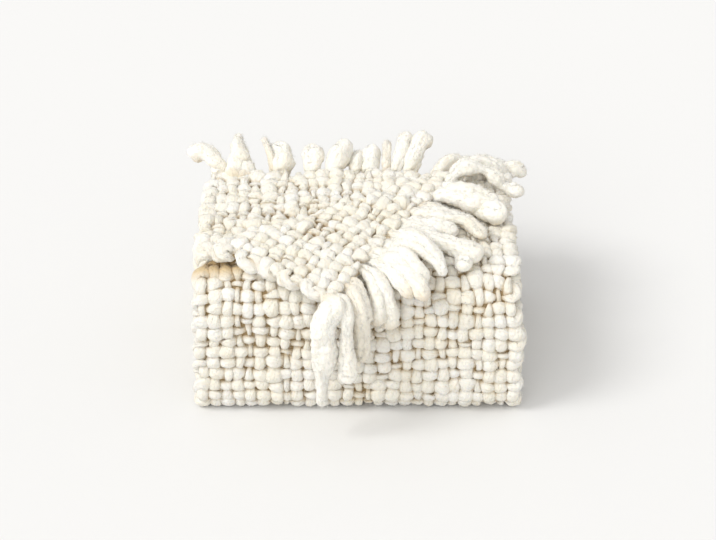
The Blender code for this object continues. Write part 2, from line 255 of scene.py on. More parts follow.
def top_surface(x, y):
    """The top layer, whose back left corner is turned over the crease."""
    across = (x - CREASE_LEFT[0]) * ACROSS_CREASE[0] + (y - CREASE_LEFT[1]) * ACROSS_CREASE[1]
    along = (x - CREASE_LEFT[0]) * ALONG_CREASE[0] + (y - CREASE_LEFT[1]) * ALONG_CREASE[1]
    begin = -math.pi * CREASE_RADIUS / 2
    curved = np.clip((across - begin) / CREASE_RADIUS, 0.0, math.pi)
    past = np.maximum(0.0, across - begin - math.pi * CREASE_RADIUS)
    landed = np.minimum(across, begin) + CREASE_RADIUS * np.sin(curved) - past
    share = (1 - np.cos(curved)) / 2
    px = CREASE_LEFT[0] + ALONG_CREASE[0] * along + ACROSS_CREASE[0] * landed
    py = CREASE_LEFT[1] + ALONG_CREASE[1] * along + ACROSS_CREASE[1] * landed
    rise = 2 * CREASE_RADIUS + (FLAP_REST - 2 * CREASE_RADIUS) * smooth(0.0, FLAP_SETTLE, past)
    droop = FLAP_DROOP * np.maximum(0.0, OVERHANG - py) ** 1.5
    sy, sz, _ = section(TOP_END - py)
    return slump(px, sy + share * (py - sy), sz + share * (TOP + rise - droop - sz))


def cloth(x, along):
    """Where points of the flat strip lie once the throw is folded."""
    x = np.asarray(x, float)
    along = np.asarray(along, float)
    y, z, index = section(along)
    for k, piece in enumerate(PIECES):
        if piece[5]:
            side, _, skew = FOLDS[piece[5]]
            here = index == k
            way = 1.0 if side == "back" else -1.0
            y[here] += skew * smooth(-0.02, 0.12, way * y[here]) * x[here] / HALF * way
    points = slump(x, y, z)
    top = along < STARTS[1] + SHOULDER
    points[top] = top_surface(x[top], TOP_END - along[top])
    return points


def unit(v):
    return v / np.maximum(np.linalg.norm(v, axis=-1, keepdims=True), 1e-12)


def is_tight(piece):
    return piece[0] == "turn" and piece[4] < TIGHT


def placed(x, along, out):
    """Points at a distance out from the mid surface, before the throw is put on its origin."""
    e = 0.0006
    dx = cloth(x + e, along) - cloth(x - e, along)
    da = cloth(x, along + e) - cloth(x, along - e)
    _, _, index = section(np.asarray(along, float))
    out = np.array(out, float)
    for k, piece in enumerate(PIECES):
        if is_tight(piece):
            here = index == k
            if piece[3][1] > 0:
                out[here] = np.maximum(out[here], -TIGHT_REACH)
            else:
                out[here] = np.minimum(out[here], TIGHT_REACH)
    return cloth(x, along) + unit(np.cross(da, dx)) * out[..., None]


def origin_shift():
    """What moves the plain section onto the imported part."""
    x, along = np.meshgrid(np.linspace(-HALF, HALF, 85), np.linspace(0.0, TOTAL, 4200))
    x, along = x.ravel(), along.ravel()
    low = np.minimum(placed(x, along, np.full_like(x, BASE)).min(0),
                     placed(x, along, np.full_like(x, -BASE)).min(0))
    shift = np.array(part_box("blanket")[0]) - low
    shift[2] = 0.0
    return shift


SHIFT = origin_shift()


# ---------------------------------------------------------------- the weave's plan
rng = np.random.default_rng(SEED)
WEFTS = int(round(TOTAL / WEFT_PITCH))
WEFT_STEP = TOTAL / WEFTS
WARP_STEP = (WIDTH - 2 * SELVEDGE) / (WARPS - 1)


def fluff(along):
    """1 on the second layer and on the top one with its turned corner, 0 down the front."""
    top = smooth(0.25, 0.19, along)
    second = smooth(SECOND_START - 0.03, SECOND_START, along)
    return np.maximum(top, second)


def roving(along):
    """Half widths of a yarn at even knots: thin stretches, plain ones and fat slubs."""
    count = len(along)
    loose = fluff(along)
    kind = rng.random(count)
    thin = kind < 0.26 + 0.06 * loose
    plain = kind < 0.70 - 0.08 * loose
    low = np.where(thin, THIN[0], np.where(plain, PLAIN[0], FAT[0]))
    high = np.where(thin, THIN[1], np.where(plain, PLAIN[1], FAT[1]))
    width = low + (high - low) * rng.random(count)
    return width * (1 + PUFF * loose * (kind > 0.80))


WARP_KNOTS = np.arange(int(TOTAL / SLUB) + 3) * SLUB
WEFT_KNOTS = np.zeros(int((WIDTH + 0.05) / SLUB) + 3)
WARP_SLUBS = [roving(WARP_KNOTS) for _ in range(WARPS)]
WEFT_SLUBS = [roving(WEFT_KNOTS + (j + 0.5) * WEFT_STEP) for j in range(WEFTS)]
WARP_PHASE = rng.random(WARPS)
WEFT_PHASE = rng.random(WEFTS)


def half_width(slubs, phase, along):
    """Half width of a yarn at distances along it."""
    at = np.clip(along / SLUB + phase, 0.0, len(slubs) - 1.001)
    k = at.astype(int)
    share = at - k
    share = share * share * (3 - 2 * share)
    return slubs[k] * (1 - share) + slubs[k + 1] * share


def half_thickness(width):
    return DEEPEST * np.tanh(width / DEEPEST)


def relax(want, home, hold):
    """Centres of side-by-side yarns, pushed apart where they are fat (yarns on axis 0)."""
    place = home.copy()
    for _ in range(80):
        push = 0.24 * (want - np.diff(place, axis=0))
        place[:-1] -= push
        place[1:] += push
        place += hold * (home - place)
        place[:, 1:-1] = 0.80 * place[:, 1:-1] + 0.10 * (place[:, :-2] + place[:, 2:])
    return place


def plan_weave():
    """Places of the crossings: across X and along A, each with warps on axis 0, wefts on 1."""
    rows = (np.arange(WEFTS) + 0.5) * WEFT_STEP
    columns = -HALF + SELVEDGE + np.arange(WARPS) * WARP_STEP
    warp = np.array([half_width(WARP_SLUBS[i], WARP_PHASE[i], rows) for i in range(WARPS)])
    weft = np.array([half_width(WEFT_SLUBS[j], WEFT_PHASE[j], columns + HALF)
                     for j in range(WEFTS)])
    pair = warp[:-1] + warp[1:]
    want = WARP_STEP * (0.12 + 0.88 * pair / pair.mean())
    home = np.repeat(columns[:, None], WEFTS, axis=1)
    across = relax(want, home, 0.05)
    limit = HALF - 0.0075
    across = np.clip(across, -limit, limit)
    pair = weft[:-1] + weft[1:]
    want = WEFT_STEP * (0.12 + 0.88 * pair / pair.mean())
    home = np.repeat(rows[:, None], WARPS, axis=1)
    along = relax(want, home, 0.04)
    jitter = rng.normal(0.0, 0.0009, across.shape)
    return across + jitter, along.T + rng.normal(0.0, 0.0010, across.shape), warp, weft.T


CROSS_X, CROSS_A, WARP_W, WEFT_W = plan_weave()
OVER = np.where((np.arange(WARPS)[:, None] + np.arange(WEFTS)[None, :]) % 2 == 0, 1.0, -1.0)


def ease(knots, values, at):
    """Values eased between knots, with the share between the two and the nearness to a knot."""
    k = np.clip(np.searchsorted(knots, at) - 1, 0, len(knots) - 2)
    share = np.clip((at - knots[k]) / (knots[k + 1] - knots[k]), 0.0, 1.0)
    soft = (1 - np.cos(math.pi * np.clip((share - 0.5) * DIVE + 0.5, 0.0, 1.0))) / 2
    return values[k] * (1 - soft) + values[k + 1] * soft, np.abs(np.cos(math.pi * share))


def curve(knots, values, at):
    """A smooth line through values at knots (Catmull-Rom)."""
    k = np.clip(np.searchsorted(knots, at) - 1, 0, len(knots) - 2)
    gap = knots[k + 1] - knots[k]
    t = np.clip((at - knots[k]) / gap, -0.5, 1.5)
    before = values[np.maximum(k - 1, 0)]
    after = values[np.minimum(k + 2, len(knots) - 1)]
    slope_a = (values[k + 1] - before) / 2
    slope_b = (after - values[k]) / 2
    t2, t3 = t * t, t * t * t
    return ((2 * t3 - 3 * t2 + 1) * values[k] + (t3 - 2 * t2 + t) * slope_a
            + (3 * t2 - 2 * t3) * values[k + 1] + (t3 - t2) * slope_b)


def squash(along):
    """How thick the yarn stays: the hidden layers are pressed by the ones above."""
    wrap = smooth(WRAP_END + 0.02, WRAP_END - 0.02, along)
    second = smooth(SECOND_START - 0.01, SECOND_START + 0.03, along)
    return 0.80 + 0.20 * np.maximum(wrap, second) + 0.16 * fluff(along)


def yarn_profile(width, nearness):
    """Half width and half thickness: full at a crossing, pinched where the yarn dives."""
    pinch = 0.87 + 0.13 * nearness
    return width * pinch, half_thickness(width) * (0.84 + 0.16 * nearness)


def warp_line(i, along):
    """One warp yarn: across, along, out, half width and half thickness."""
    knots = CROSS_A[i]
    x = curve(knots, CROSS_X[i], along)
    lift = 0.93 * half_thickness(WEFT_W[i]) * OVER[i]
    out, near = ease(knots, lift, along)
    width = half_width(WARP_SLUBS[i], WARP_PHASE[i], along)
    w, t = yarn_profile(width, near)
    flat = squash(along)
    return np.stack([x, along, out * flat, w, t * flat], axis=1)


def weft_line(j, x):
    """One weft yarn between the outer warps, at places across."""
    order = np.argsort(CROSS_X[:, j])
    knots = CROSS_X[order, j]
    along = curve(knots, CROSS_A[order, j], x)
    lift = -0.93 * half_thickness(WARP_W[order, j]) * OVER[order, j]
    out, near = ease(knots, lift, x)
    width = half_width(WEFT_SLUBS[j], WEFT_PHASE[j], x + HALF)
    w, t = yarn_profile(width, near)
    flat = squash(along)
    return np.stack([x, along, out * flat, w, t * flat], axis=1)


def weft_turn(j, right, step):
    """The weft's way round the outer warp, from row j to row j + 1."""
    i = WARPS - 1 if right else 0
    way = 1.0 if right else -1.0
    first = weft_line(j, CROSS_X[i:i + 1, j])[0]
    last = weft_line(j + 1, CROSS_X[i:i + 1, j + 1])[0]
    count = max(5, int(0.030 / step))
    u = np.linspace(0.0, 1.0, count + 2)[1:-1]
    soft = (1 - np.cos(math.pi * u)) / 2
    line = first[None, :] * (1 - soft[:, None]) + last[None, :] * soft[:, None]
    edge = HALF + 0.0015 - way * 0.5 * (first[0] + last[0]) - 0.5 * (first[3] + last[3]) * 0.6
    line[:, 0] += way * np.clip(edge, 0.006, 0.012) * np.sin(math.pi * u)
    line[:, 3] *= 1 - 0.24 * np.sin(math.pi * u)
    return line


def steps(a, b, step):
    return np.linspace(a, b, max(3, int(abs(b - a) / step) + 1))


def weft_snake(first, last, step):
    """Rows first to last of the weft, as the one yarn that goes to and fro."""
    parts = []
    for j in range(first, last + 1):
        right = j % 2 == 0
        ends = (CROSS_X[0, j], CROSS_X[WARPS - 1, j])
        x = steps(ends[0], ends[1], step)
        parts.append(weft_line(j, x if right else x[::-1]))
        if j < last:
            parts.append(weft_turn(j, right, step))
    return np.concatenate(parts)


def weft_edge(j, right, depth, step):
    """Rows j and j + 1 near one selvedge only, joined round the outer warp."""
    way = 1.0 if right else -1.0
    i = WARPS - 1 if right else 0
    inner = way * (HALF - depth)
    there = weft_line(j, steps(inner, CROSS_X[i, j], step))
    back = weft_line(j + 1, steps(CROSS_X[i, j + 1], inner, step))
    return np.concatenate([there, weft_turn(j, right, step), back])


# ---------------------------------------------------------------- meshes of tubes
def put(name, data):
    thing = bpy.data.objects.new(name, data)
    bpy.context.scene.collection.objects.link(thing)
    return thing


def distances(line):
    """How far along a line each of its points is."""
    return np.concatenate([[0.0], np.cumsum(np.linalg.norm(np.diff(line, axis=0), axis=1))])


def rounded(end):
    """A tube's share of its full width, at distances from its nearer end."""
    return np.sqrt(np.clip(1 - (1 - np.clip(end / END_ROUND, 0, 1)) ** 2, 0.02, 1))


def fibres(twist, stretch, s, sides):
    """Coordinates along the fibres; twist is their angle round the yarn."""
    offset = rng.random() * 50
    return np.stack([np.cos(twist), np.sin(twist), np.repeat(offset + stretch * s, sides, 1)], -1)


class Tubes:
    """Collects closed tubes and makes one mesh of them."""

    def __init__(self):
        self.points, self.loops, self.totals = [], [], []
        self.depth, self.fibre, self.tint = [], [], []
        self.count = 0

    def add(self, points, sides, depth, fibre, tint, inward):
        """points is rings * sides of them; inward turns the faces over."""
        rings = len(points) // sides
        ring = np.arange(rings - 1)[:, None] * sides
        k = np.arange(sides)[None, :]
        after = (k + 1) % sides
        quads = np.stack([ring + k, ring + after, ring + sides + after, ring + sides + k], -1)
        quads = quads.reshape(-1, 4)
        first = np.arange(sides)[::-1]
        last = (rings - 1) * sides + np.arange(sides)
        if inward:
            quads = quads[:, ::-1]
            first, last = first[::-1], last[::-1]
        self.loops += [quads.ravel() + self.count, first + self.count, last + self.count]
        self.totals += [np.full(len(quads), 4), np.array([sides, sides])]
        self.points.append(points)
        self.depth.append(depth)
        self.fibre.append(fibre)
        self.tint.append(np.full(len(points), tint))
        self.count += len(points)

    def make(self, name, material):
        mesh = bpy.data.meshes.new(name)
        points = np.concatenate(self.points)
        loops = np.concatenate(self.loops).astype(np.int32)
        totals = np.concatenate(self.totals).astype(np.int32)
        mesh.vertices.add(len(points))
        mesh.vertices.foreach_set("co", points.astype(np.float32).ravel())
        mesh.loops.add(len(loops))
        mesh.loops.foreach_set("vertex_index", loops)
        mesh.polygons.add(len(totals))
        starts = np.concatenate([[0], np.cumsum(totals)[:-1]]).astype(np.int32)
        mesh.polygons.foreach_set("loop_start", starts)
        mesh.polygons.foreach_set("use_smooth", np.ones(len(totals), bool))
        for key, kind, socket, parts in (("depth", "FLOAT", "value", self.depth),
                                         ("tint", "FLOAT", "value", self.tint),
                                         ("fibre", "FLOAT_VECTOR", "vector", self.fibre)):
            values = mesh.attributes.new(key, kind, "POINT")
            values.data.foreach_set(socket, np.concatenate(parts).astype(np.float32).ravel())
        mesh.materials.append(material)
        mesh.update(calc_edges=True)
        mesh.validate()
        return put(name, mesh)


def rings(line, sides, lumps):
    """Rings of points round a line of (x, y, z, half width, half thickness), and their fibres."""
    centre = line[:, :3]
    tangent = unit(np.gradient(centre, axis=0))
    side = unit(np.cross(np.array((0.0, 0.0, 1.0)), tangent))
    normal = np.cross(tangent, side)
    angle = np.arange(sides) * 2 * math.pi / sides
    travelled = distances(centre)
    phase = rng.random(4) * 2 * math.pi
    s = travelled[:, None]
    lumps = (lumps * (1 + 0.9 * fluff(line[:, 1])))[:, None]
    bumpy = (1 + lumps * np.sin(2 * angle[None, :] + phase[0] + 90 * s)
             + 0.8 * lumps * np.sin(3 * angle[None, :] + phase[1] - 150 * s)
             + 0.7 * lumps * np.sin(phase[2] + 410 * s + angle[None, :])
             + 0.6 * lumps * np.sin(phase[3] - 640 * s + 2 * angle[None, :]))
    end = np.minimum(travelled, travelled[-1] - travelled)
    closed = rounded(end)
    w = (line[:, 3] * closed)[:, None] * bumpy
    t = (line[:, 4] * closed)[:, None] * bumpy
    wide = np.sign(np.cos(angle)) * np.abs(np.cos(angle)) ** 0.76
    high = np.sign(np.sin(angle)) * np.abs(np.sin(angle)) ** 0.86
    points = (centre[:, None, :] + (w * wide)[..., None] * side[:, None, :]
              + (t * high)[..., None] * normal[:, None, :])
    fibre = fibres(angle[None, :] + phase[3] + 55 * s, 30, s, sides)
    return points.reshape(-1, 3), fibre.reshape(-1, 3)


def crease_shade(x, along):
    """Painted shade: 1 in the hollow under the crease's left end, fading to 0 around it."""
    across = ((x - CREASE_LEFT[0]) * ACROSS_CREASE[0]
              + (TOP_END - along - CREASE_LEFT[1]) * ACROSS_CREASE[1])
    shade = smooth(-0.10, -0.16, x) * smooth(-0.012, -0.018, across)
    return shade * (smooth(0.192, 0.202, along) * smooth(0.243, 0.208, along))


def add_yarn(tubes, line, sides, tint, lumps=0.07):
    """A yarn of the weave: rings in the flat cloth, then folded with it."""
    points, fibre = rings(line, sides, lumps)
    # painted shade: depth is high where a point lies deep between the yarns and lower at the
    # selvedge; the material darkens the colour by it
    depth = np.clip(1 - np.abs(points[:, 2]) / 0.0080, 0.0, 1.0)
    depth *= 1 - 0.75 * smooth(HALF - 0.016, HALF - 0.004, np.abs(points[:, 0]))
    # painted shade in the hollow under the crease
    depth = np.maximum(depth, SHADE * crease_shade(points[:, 0], points[:, 1]))
    world = placed(points[:, 0], points[:, 1], points[:, 2]) + SHIFT
    low = world[:, 2] < 0.0030
    world[low, 2] = 0.0006 + 0.0024 * np.exp((world[low, 2] - 0.0030) / 0.0024)
    tubes.add(world, sides, depth, fibre, tint, inward=True)


def rows_between(a, b):
    middle = CROSS_A[WARPS // 2]
    inside = np.where((middle >= a) & (middle <= b))[0]
    return int(inside[0]), int(inside[-1])


# ---------------------------------------------------------------- materials
def nodes_of(material):
    material.use_nodes = True
    tree = material.node_tree
    return tree, tree.nodes["Principled BSDF"]


def link(tree, source, target):
    tree.links.new(source, target)


def noise(tree, vector, scale, detail, roughness=0.5):
    node = tree.nodes.new("ShaderNodeTexNoise")
    node.inputs["Scale"].default_value = scale
    node.inputs["Detail"].default_value = detail
    node.inputs["Roughness"].default_value = roughness
    link(tree, vector, node.inputs["Vector"])
    return node.outputs["Fac"]


def mapped(tree, value, low, high, to_low=0.0, to_high=1.0):
    node = tree.nodes.new("ShaderNodeMapRange")
    node.inputs["From Min"].default_value = low
    node.inputs["From Max"].default_value = high
    node.inputs["To Min"].default_value = to_low
    node.inputs["To Max"].default_value = to_high
    link(tree, value, node.inputs["Value"])
    return node.outputs["Result"]


def blended(tree, factor, first, second):
    node = tree.nodes.new("ShaderNodeMix")
    node.data_type = "RGBA"
    link(tree, factor, node.inputs["Factor"])
    for socket, colour in ((node.inputs["A"], first), (node.inputs["B"], second)):
        if isinstance(colour, tuple):
            socket.default_value = colour
        else:
            link(tree, colour, socket)
    return node.outputs["Result"]


def attribute(tree, name):
    node = tree.nodes.new("ShaderNodeAttribute")
    node.attribute_name = name
    return node


def bump(tree, height, strength, distance, normal=None):
    node = tree.nodes.new("ShaderNodeBump")
    node.inputs["Strength"].default_value = strength
    node.inputs["Distance"].default_value = distance
    link(tree, height, node.inputs["Height"])
    if normal is not None:
        link(tree, normal, node.inputs["Normal"])
    return node.outputs["Normal"]


LIGHT = (0.87, 0.855, 0.81, 1.0)
WARM = (0.85, 0.81, 0.70, 1.0)
FRINGE_LIGHT = (0.92, 0.905, 0.86, 1.0)
FRINGE_WARM = (0.89, 0.86, 0.77, 1.0)
# painted warm shade for the crevices, also given to the fibre streaks
CREVICE_SHADE = (0.62, 0.47, 0.26, 1.0)
# painted deep brown shade for the hollow under the crease
SHADED = (0.30, 0.20, 0.09, 1.0)


def wool(name, light, warm, streaks):
    """Loosely spun wool: streaky fibres along the yarn, painted tan shade in the crevices."""
    material = bpy.data.materials.new(name)
    tree, shader = nodes_of(material)
    fibre = attribute(tree, "fibre").outputs["Vector"]
    place = tree.nodes.new("ShaderNodeTexCoord").outputs["Object"]
    streak = noise(tree, fibre, 2.4, 4.0, 0.65)
    clump = noise(tree, fibre, 1.0, 2.0)
    fuzz = noise(tree, place, 900.0, 3.0, 0.6)
    patch = noise(tree, place, 26.0, 2.0)
    lump = noise(tree, place, 190.0, 2.5, 0.55)
    tint = attribute(tree, "tint").outputs["Fac"]
    colour = blended(tree, mapped(tree, patch, 0.35, 0.68), light, warm)
    colour = blended(tree, mapped(tree, tint, 0.0, 1.0, 0.0, 0.55), colour, warm)
    # fibre streaks, tinted towards the painted crevice shade colour
    colour = blended(tree, mapped(tree, streak, 0.52, 0.75, 0.0, 0.28), colour, CREVICE_SHADE)
    depth = attribute(tree, "depth").outputs["Fac"]
    # painted shade: crevice colour where the depth attribute is high
    colour = blended(tree, mapped(tree, depth, 0.15, 1.0, 0.0, 0.95), colour, CREVICE_SHADE)
    # painted deep brown shade where depth passes 1, in the hollow under the crease
    colour = blended(tree, mapped(tree, depth, 1.0, 1.6), colour, SHADED)
    link(tree, colour, shader.inputs["Base Color"])
    shader.inputs["Roughness"].default_value = 0.92
    shader.inputs["Specular IOR Level"].default_value = 0.18
    shader.inputs["Sheen Weight"].default_value = 0.25
    shader.inputs["Sheen Roughness"].default_value = 0.55
    normal = bump(tree, lump, 0.8, 0.0035)
    normal = bump(tree, clump, 0.7, 0.0020, normal)
    normal = bump(tree, streak, streaks, 0.0028, normal)
    normal = bump(tree, fuzz, 0.35, 0.0008, normal)
    shader.inputs["Subsurface Weight"].default_value = 0.15
    shader.inputs["Subsurface Scale"].default_value = 0.002
    shader.inputs["Subsurface Radius"].default_value = (1.0, 0.8, 0.55)
    link(tree, normal, shader.inputs["Normal"])
    return material


WOOL = wool("wool_weave", LIGHT, WARM, 0.7)
WOOL_FRINGE = wool("wool_fringe", FRINGE_LIGHT, FRINGE_WARM, 0.35)


def bloom_wool():
    """Single loose fibres."""
    material = bpy.data.materials.new("wool_bloom")
    _, shader = nodes_of(material)
    shader.inputs["Base Color"].default_value = (0.90, 0.885, 0.84, 1.0)
    shader.inputs["Roughness"].default_value = 0.8
    shader.inputs["Specular IOR Level"].default_value = 0.2
    return material


BLOOM = bloom_wool()


def shadow_wool():
    """Painted shadow: dark brown on the cloth's thin sheet, seen only in the gaps between the
    yarns.
    """
    material = bpy.data.materials.new("painted_shadow_wool")
    tree, shader = nodes_of(material)
    place = tree.nodes.new("ShaderNodeTexCoord").outputs["Object"]
    patch = noise(tree, place, 180.0, 3.0)
    colour = blended(tree, mapped(tree, patch, 0.3, 0.7), (0.28, 0.20, 0.10, 1.0),
                     (0.40, 0.30, 0.17, 1.0))
    link(tree, colour, shader.inputs["Base Color"])
    shader.inputs["Roughness"].default_value = 1.0
    shader.inputs["Specular IOR Level"].default_value = 0.0
    link(tree, bump(tree, patch, 0.5, 0.001), shader.inputs["Normal"])
    return material


PAINTED_SHADOW = shadow_wool()


# ---------------------------------------------------------------- the sheet in the weave
def make_sheet():
    """The cloth itself, thin, on all its folds, a little inside its selvedges and ends, in
    painted shadow.
    """
    rows = []
    for k, piece in enumerate(PIECES):
        step = 0.0035 if is_tight(piece) else 0.009
        count = max(2, int(piece[1] / step))
        rows += list(STARTS[k] + piece[1] * np.arange(count) / count)
    rows = np.array(rows + [TOTAL])
    rows = rows[(rows > 0.005) & (rows < TOTAL - 0.005)]
    columns = np.linspace(-HALF + SHEET_INSET, HALF - SHEET_INSET, 30)
    x, along = np.meshgrid(columns, rows)
    flat = np.zeros(x.size)
    points = placed(x.ravel(), along.ravel(), flat) + SHIFT
    n, m = len(rows), len(columns)
    index = np.arange(n * m).reshape(n, m)
    faces = np.stack([index[:-1, :-1], index[:-1, 1:], index[1:, 1:], index[1:, :-1]], -1)
    mesh = bpy.data.meshes.new("cloth_sheet")
    mesh.from_pydata(points.tolist(), [], faces.reshape(-1, 4).tolist())
    # the sheet's dark colour is painted shadow
    mesh.materials.append(PAINTED_SHADOW)
    mesh.polygons.foreach_set("use_smooth", np.ones(len(mesh.polygons), bool))
    thing = put("cloth_sheet", mesh)
    shell = thing.modifiers.new("shell", "SOLIDIFY")
    shell.thickness = 0.0016
    shell.offset = 0.0
    return thing


# ---------------------------------------------------------------- the weave

def make_wrap():
    """The top layer, its turned corner and the wrap down the front."""
    sides, step = HIGH
    warp = Tubes()
    for i in range(WARPS):
        add_yarn(warp, warp_line(i, steps(-0.004, WRAP_END + 0.012, step)), sides, rng.random())
    weft = Tubes()
    first, last = rows_between(0.0, WRAP_END + 0.006)
    add_yarn(weft, weft_snake(first, last, step), sides, rng.random())
    return warp.make("wrap_warp", WOOL), weft.make("wrap_weft", WOOL), last


def make_second():
    """The second layer, seen behind the turned corner."""
    sides, step = HIGH
    warp = Tubes()
    for i in range(WARPS):
        add_yarn(warp, warp_line(i, steps(SECOND_START - 0.006, TOTAL + 0.004, step)), sides,
                 rng.random())
    weft = Tubes()
    first, last = rows_between(SECOND_START, TOTAL + 0.01)
    add_yarn(weft, weft_snake(first, last, step), sides, rng.random())
    return warp.make("second_warp", WOOL), weft.make("second_weft", WOOL), first


def back_folds():
    """Both ends of each fold at the back, above the bottom layer's, as places on the strip."""
    return [(STARTS[k], STARTS[k + 1]) for k, piece in enumerate(PIECES)
            if piece[0] == "turn" and k > 6 and piece[3][1] > 0]


def make_hidden(start_row, end_row):
    """The bottom layer, the folds at the back and the edges of the hidden layers."""
    sides, step = LOW
    warp = Tubes()
    weft = Tubes()
    bottom_end = float(STARTS[6]) + 0.012
    for i in range(WARPS):
        tint = rng.random()
        if i < EDGE_WARPS or i >= WARPS - EDGE_WARPS:
            add_yarn(warp, warp_line(i, steps(WRAP_END, SECOND_START, step)), sides, tint)
            continue
        add_yarn(warp, warp_line(i, steps(WRAP_END, bottom_end, step)), sides, tint)
        for start, end in back_folds():
            add_yarn(warp, warp_line(i, steps(start - 0.012, end + 0.012, step)), sides, tint)
    j = start_row
    middle = CROSS_A[WARPS // 2]
    whole = middle < bottom_end
    for start, end in back_folds():
        whole |= (middle > start - 0.010) & (middle < end + 0.010)
    while j < end_row:
        if whole[j]:
            last = j
            while last + 1 < end_row and whole[last + 1]:
                last += 1
            add_yarn(weft, weft_snake(j, last, step), sides, rng.random())
            for edge in (j - 1, last):
                if start_row <= edge < end_row - 1:
                    line = weft_edge(edge, edge % 2 == 0, TUCK, step)
                    add_yarn(weft, line, sides, rng.random())
            j = last + 1
            continue
        if j + 1 < end_row and not whole[j + 1]:
            add_yarn(weft, weft_edge(j, j % 2 == 0, TUCK, step), sides, rng.random())
        j += 1
    return warp.make("hidden_warp", WOOL), weft.make("hidden_weft", WOOL)


def outward(points):
    """The way out of the folded stack at points near it."""
    inner = points - SHIFT
    y = np.clip(inner[:, 1], FRONT + SHOULDER, BACK - 0.03)
    z = np.clip(inner[:, 2], BASE + FOOT, TOP - SHOULDER)
    x = np.clip(inner[:, 0], -HALF + 0.03, HALF - 0.03)
    return unit(inner - np.stack([x, y, z], axis=1))


# ---------------------------------------------------------------- the bloom of loose fibres
def make_bloom(name, things, count, length, material):
    """Short loose fibres that stand off the yarns, each a closed spike.

    things are objects made of tubes, each with the number of its tubes' sides.
    """
    places, normals, ways = [], [], []
    for thing, sides in things:
        mesh = thing.data
        total = len(mesh.vertices)
        co = np.zeros(total * 3, np.float32)
        no = np.zeros(total * 3, np.float32)
        deep = np.zeros(total, np.float32)
        mesh.vertices.foreach_get("co", co)
        mesh.vertices.foreach_get("normal", no)
        mesh.attributes["depth"].data.foreach_get("value", deep)
        co, no = co.reshape(-1, 3).astype(float), no.reshape(-1, 3).astype(float)
        after = np.minimum(np.arange(total) + sides, total - 1)
        way = co[after] - co
        good = (np.linalg.norm(way, axis=1) < 0.012) & (deep < 0.62) & (co[:, 2] > 0.006)
        facing = np.einsum("ij,ij->i", no, outward(co))
        good &= facing > 0.1
        places.append((co + way * rng.random((total, 1)))[good])
        normals.append(no[good])
        ways.append(unit(way)[good])
    places, normals, ways = [np.concatenate(v) for v in (places, normals, ways)]
    pick = rng.integers(0, len(places), count)
    root, normal, way = places[pick], normals[pick], ways[pick]
    sign = np.where(rng.random(count) < 0.5, -1.0, 1.0)[:, None]
    lift = rng.uniform(0.2, 1.3, (count, 1))
    across = np.cross(normal, way)
    aim = unit(way * sign + normal * lift + across * rng.normal(0.0, 0.45, (count, 1)))
    reach = length * rng.uniform(0.4, 1.0, (count, 1))
    wide = unit(np.cross(normal, aim))
    high = np.cross(aim, wide)
    thick = rng.uniform(0.00018, 0.00032, (count, 1))
    root = root + across * rng.normal(0.0, 0.0008, (count, 1)) - normal * 0.0003
    corners = [root + thick * (math.cos(turn) * wide + math.sin(turn) * high)
               for turn in (0.0, 2 * math.pi / 3, 4 * math.pi / 3)]
    points = np.stack(corners + [root + aim * reach], axis=1).reshape(-1, 3)
    points[:, 2] = np.maximum(points[:, 2], 0.0003)
    faces = np.array(((0, 1, 3), (1, 2, 3), (2, 0, 3), (0, 2, 1)))
    loops = (np.arange(count)[:, None, None] * 4 + faces[None]).ravel().astype(np.int32)
    mesh = bpy.data.meshes.new(name)
    mesh.vertices.add(len(points))
    mesh.vertices.foreach_set("co", points.astype(np.float32).ravel())
    mesh.loops.add(len(loops))
    mesh.loops.foreach_set("vertex_index", loops)
    mesh.polygons.add(count * 4)
    mesh.polygons.foreach_set("loop_start", np.arange(count * 4, dtype=np.int32) * 3)
    mesh.materials.append(material)
    mesh.update(calc_edges=True)
    return put(name, mesh)


# ---------------------------------------------------------------- the fringe
def keep_off(point, gap):
    """A point of a fringe loop, moved out of the folded stack, as in the part."""
    x, y, z = point
    if y > TOP_END:
        if y < BACK + PITCH / 2:
            z = max(z, TOP - PITCH + gap)
        elif z < TOP - PITCH:
            y = max(y, BACK + PITCH / 2 + gap)
        return Vector((x, y, z))
    if y > FRONT + SHOULDER:
        return Vector((x, y, max(z, TOP + gap)))
    if z < TOP - SHOULDER:
        return Vector((x, min(y, FRONT - gap), z))
    out = Vector((y - FRONT - SHOULDER, z - TOP + SHOULDER))
    if out.length < SHOULDER + gap:
        out = out.normalized() * (SHOULDER + gap)
        y = FRONT + SHOULDER + out.x
        z = TOP - SHOULDER + out.y
    return Vector((x, y, z))


def loop_path(root, row):
    """The way a fringe loop falls from its root, as in the part."""
    _, _, heading0, turn, rise, length, radius, sag = row
    gap = CLOTH / 2 + radius + RESTING_GAP
    count = round(length / STEP)
    pitch = math.radians(rise)
    points = [root.copy()]
    for i in range(count):
        share = (i + 0.5) / count
        heading = math.radians(heading0 + turn * share)
        level = math.cos(pitch)
        step = Vector((math.cos(heading) * level, math.sin(heading) * level, math.sin(pitch)))
        free = points[-1] + step * STEP
        held = keep_off(free, gap) if i > 1 and abs(free.x) < HALF else free
        points.append(held)
        pitch = max(pitch - STEP / sag, math.radians(-88))
        moved = held - points[-2]
        if held != free and moved.length > 1e-6:
            pitch = max(pitch, math.asin(max(-1.0, min(1.0, moved.z / moved.length))))
    return points


def resampled(points, step):
    """A smooth line through points, with even steps."""
    points = np.asarray(points, float)
    knots = distances(points)
    at = np.linspace(0.0, knots[-1], int(knots[-1] / step) + 2)
    return np.stack([curve(knots, points[:, k], at) for k in range(3)], axis=1)


def carried_frame(centre):
    """Tangents and a side vector that turns as little as it can."""
    tangent = unit(np.gradient(centre, axis=0))
    side = np.zeros_like(centre)
    guess = np.array((0.0, 0.0, 1.0))
    if abs(tangent[0, 2]) > 0.9:
        guess = np.array((1.0, 0.0, 0.0))
    for k, t in enumerate(tangent):
        guess = guess - t * guess.dot(t)
        guess = guess / np.linalg.norm(guess)
        side[k] = guess
    return tangent, side


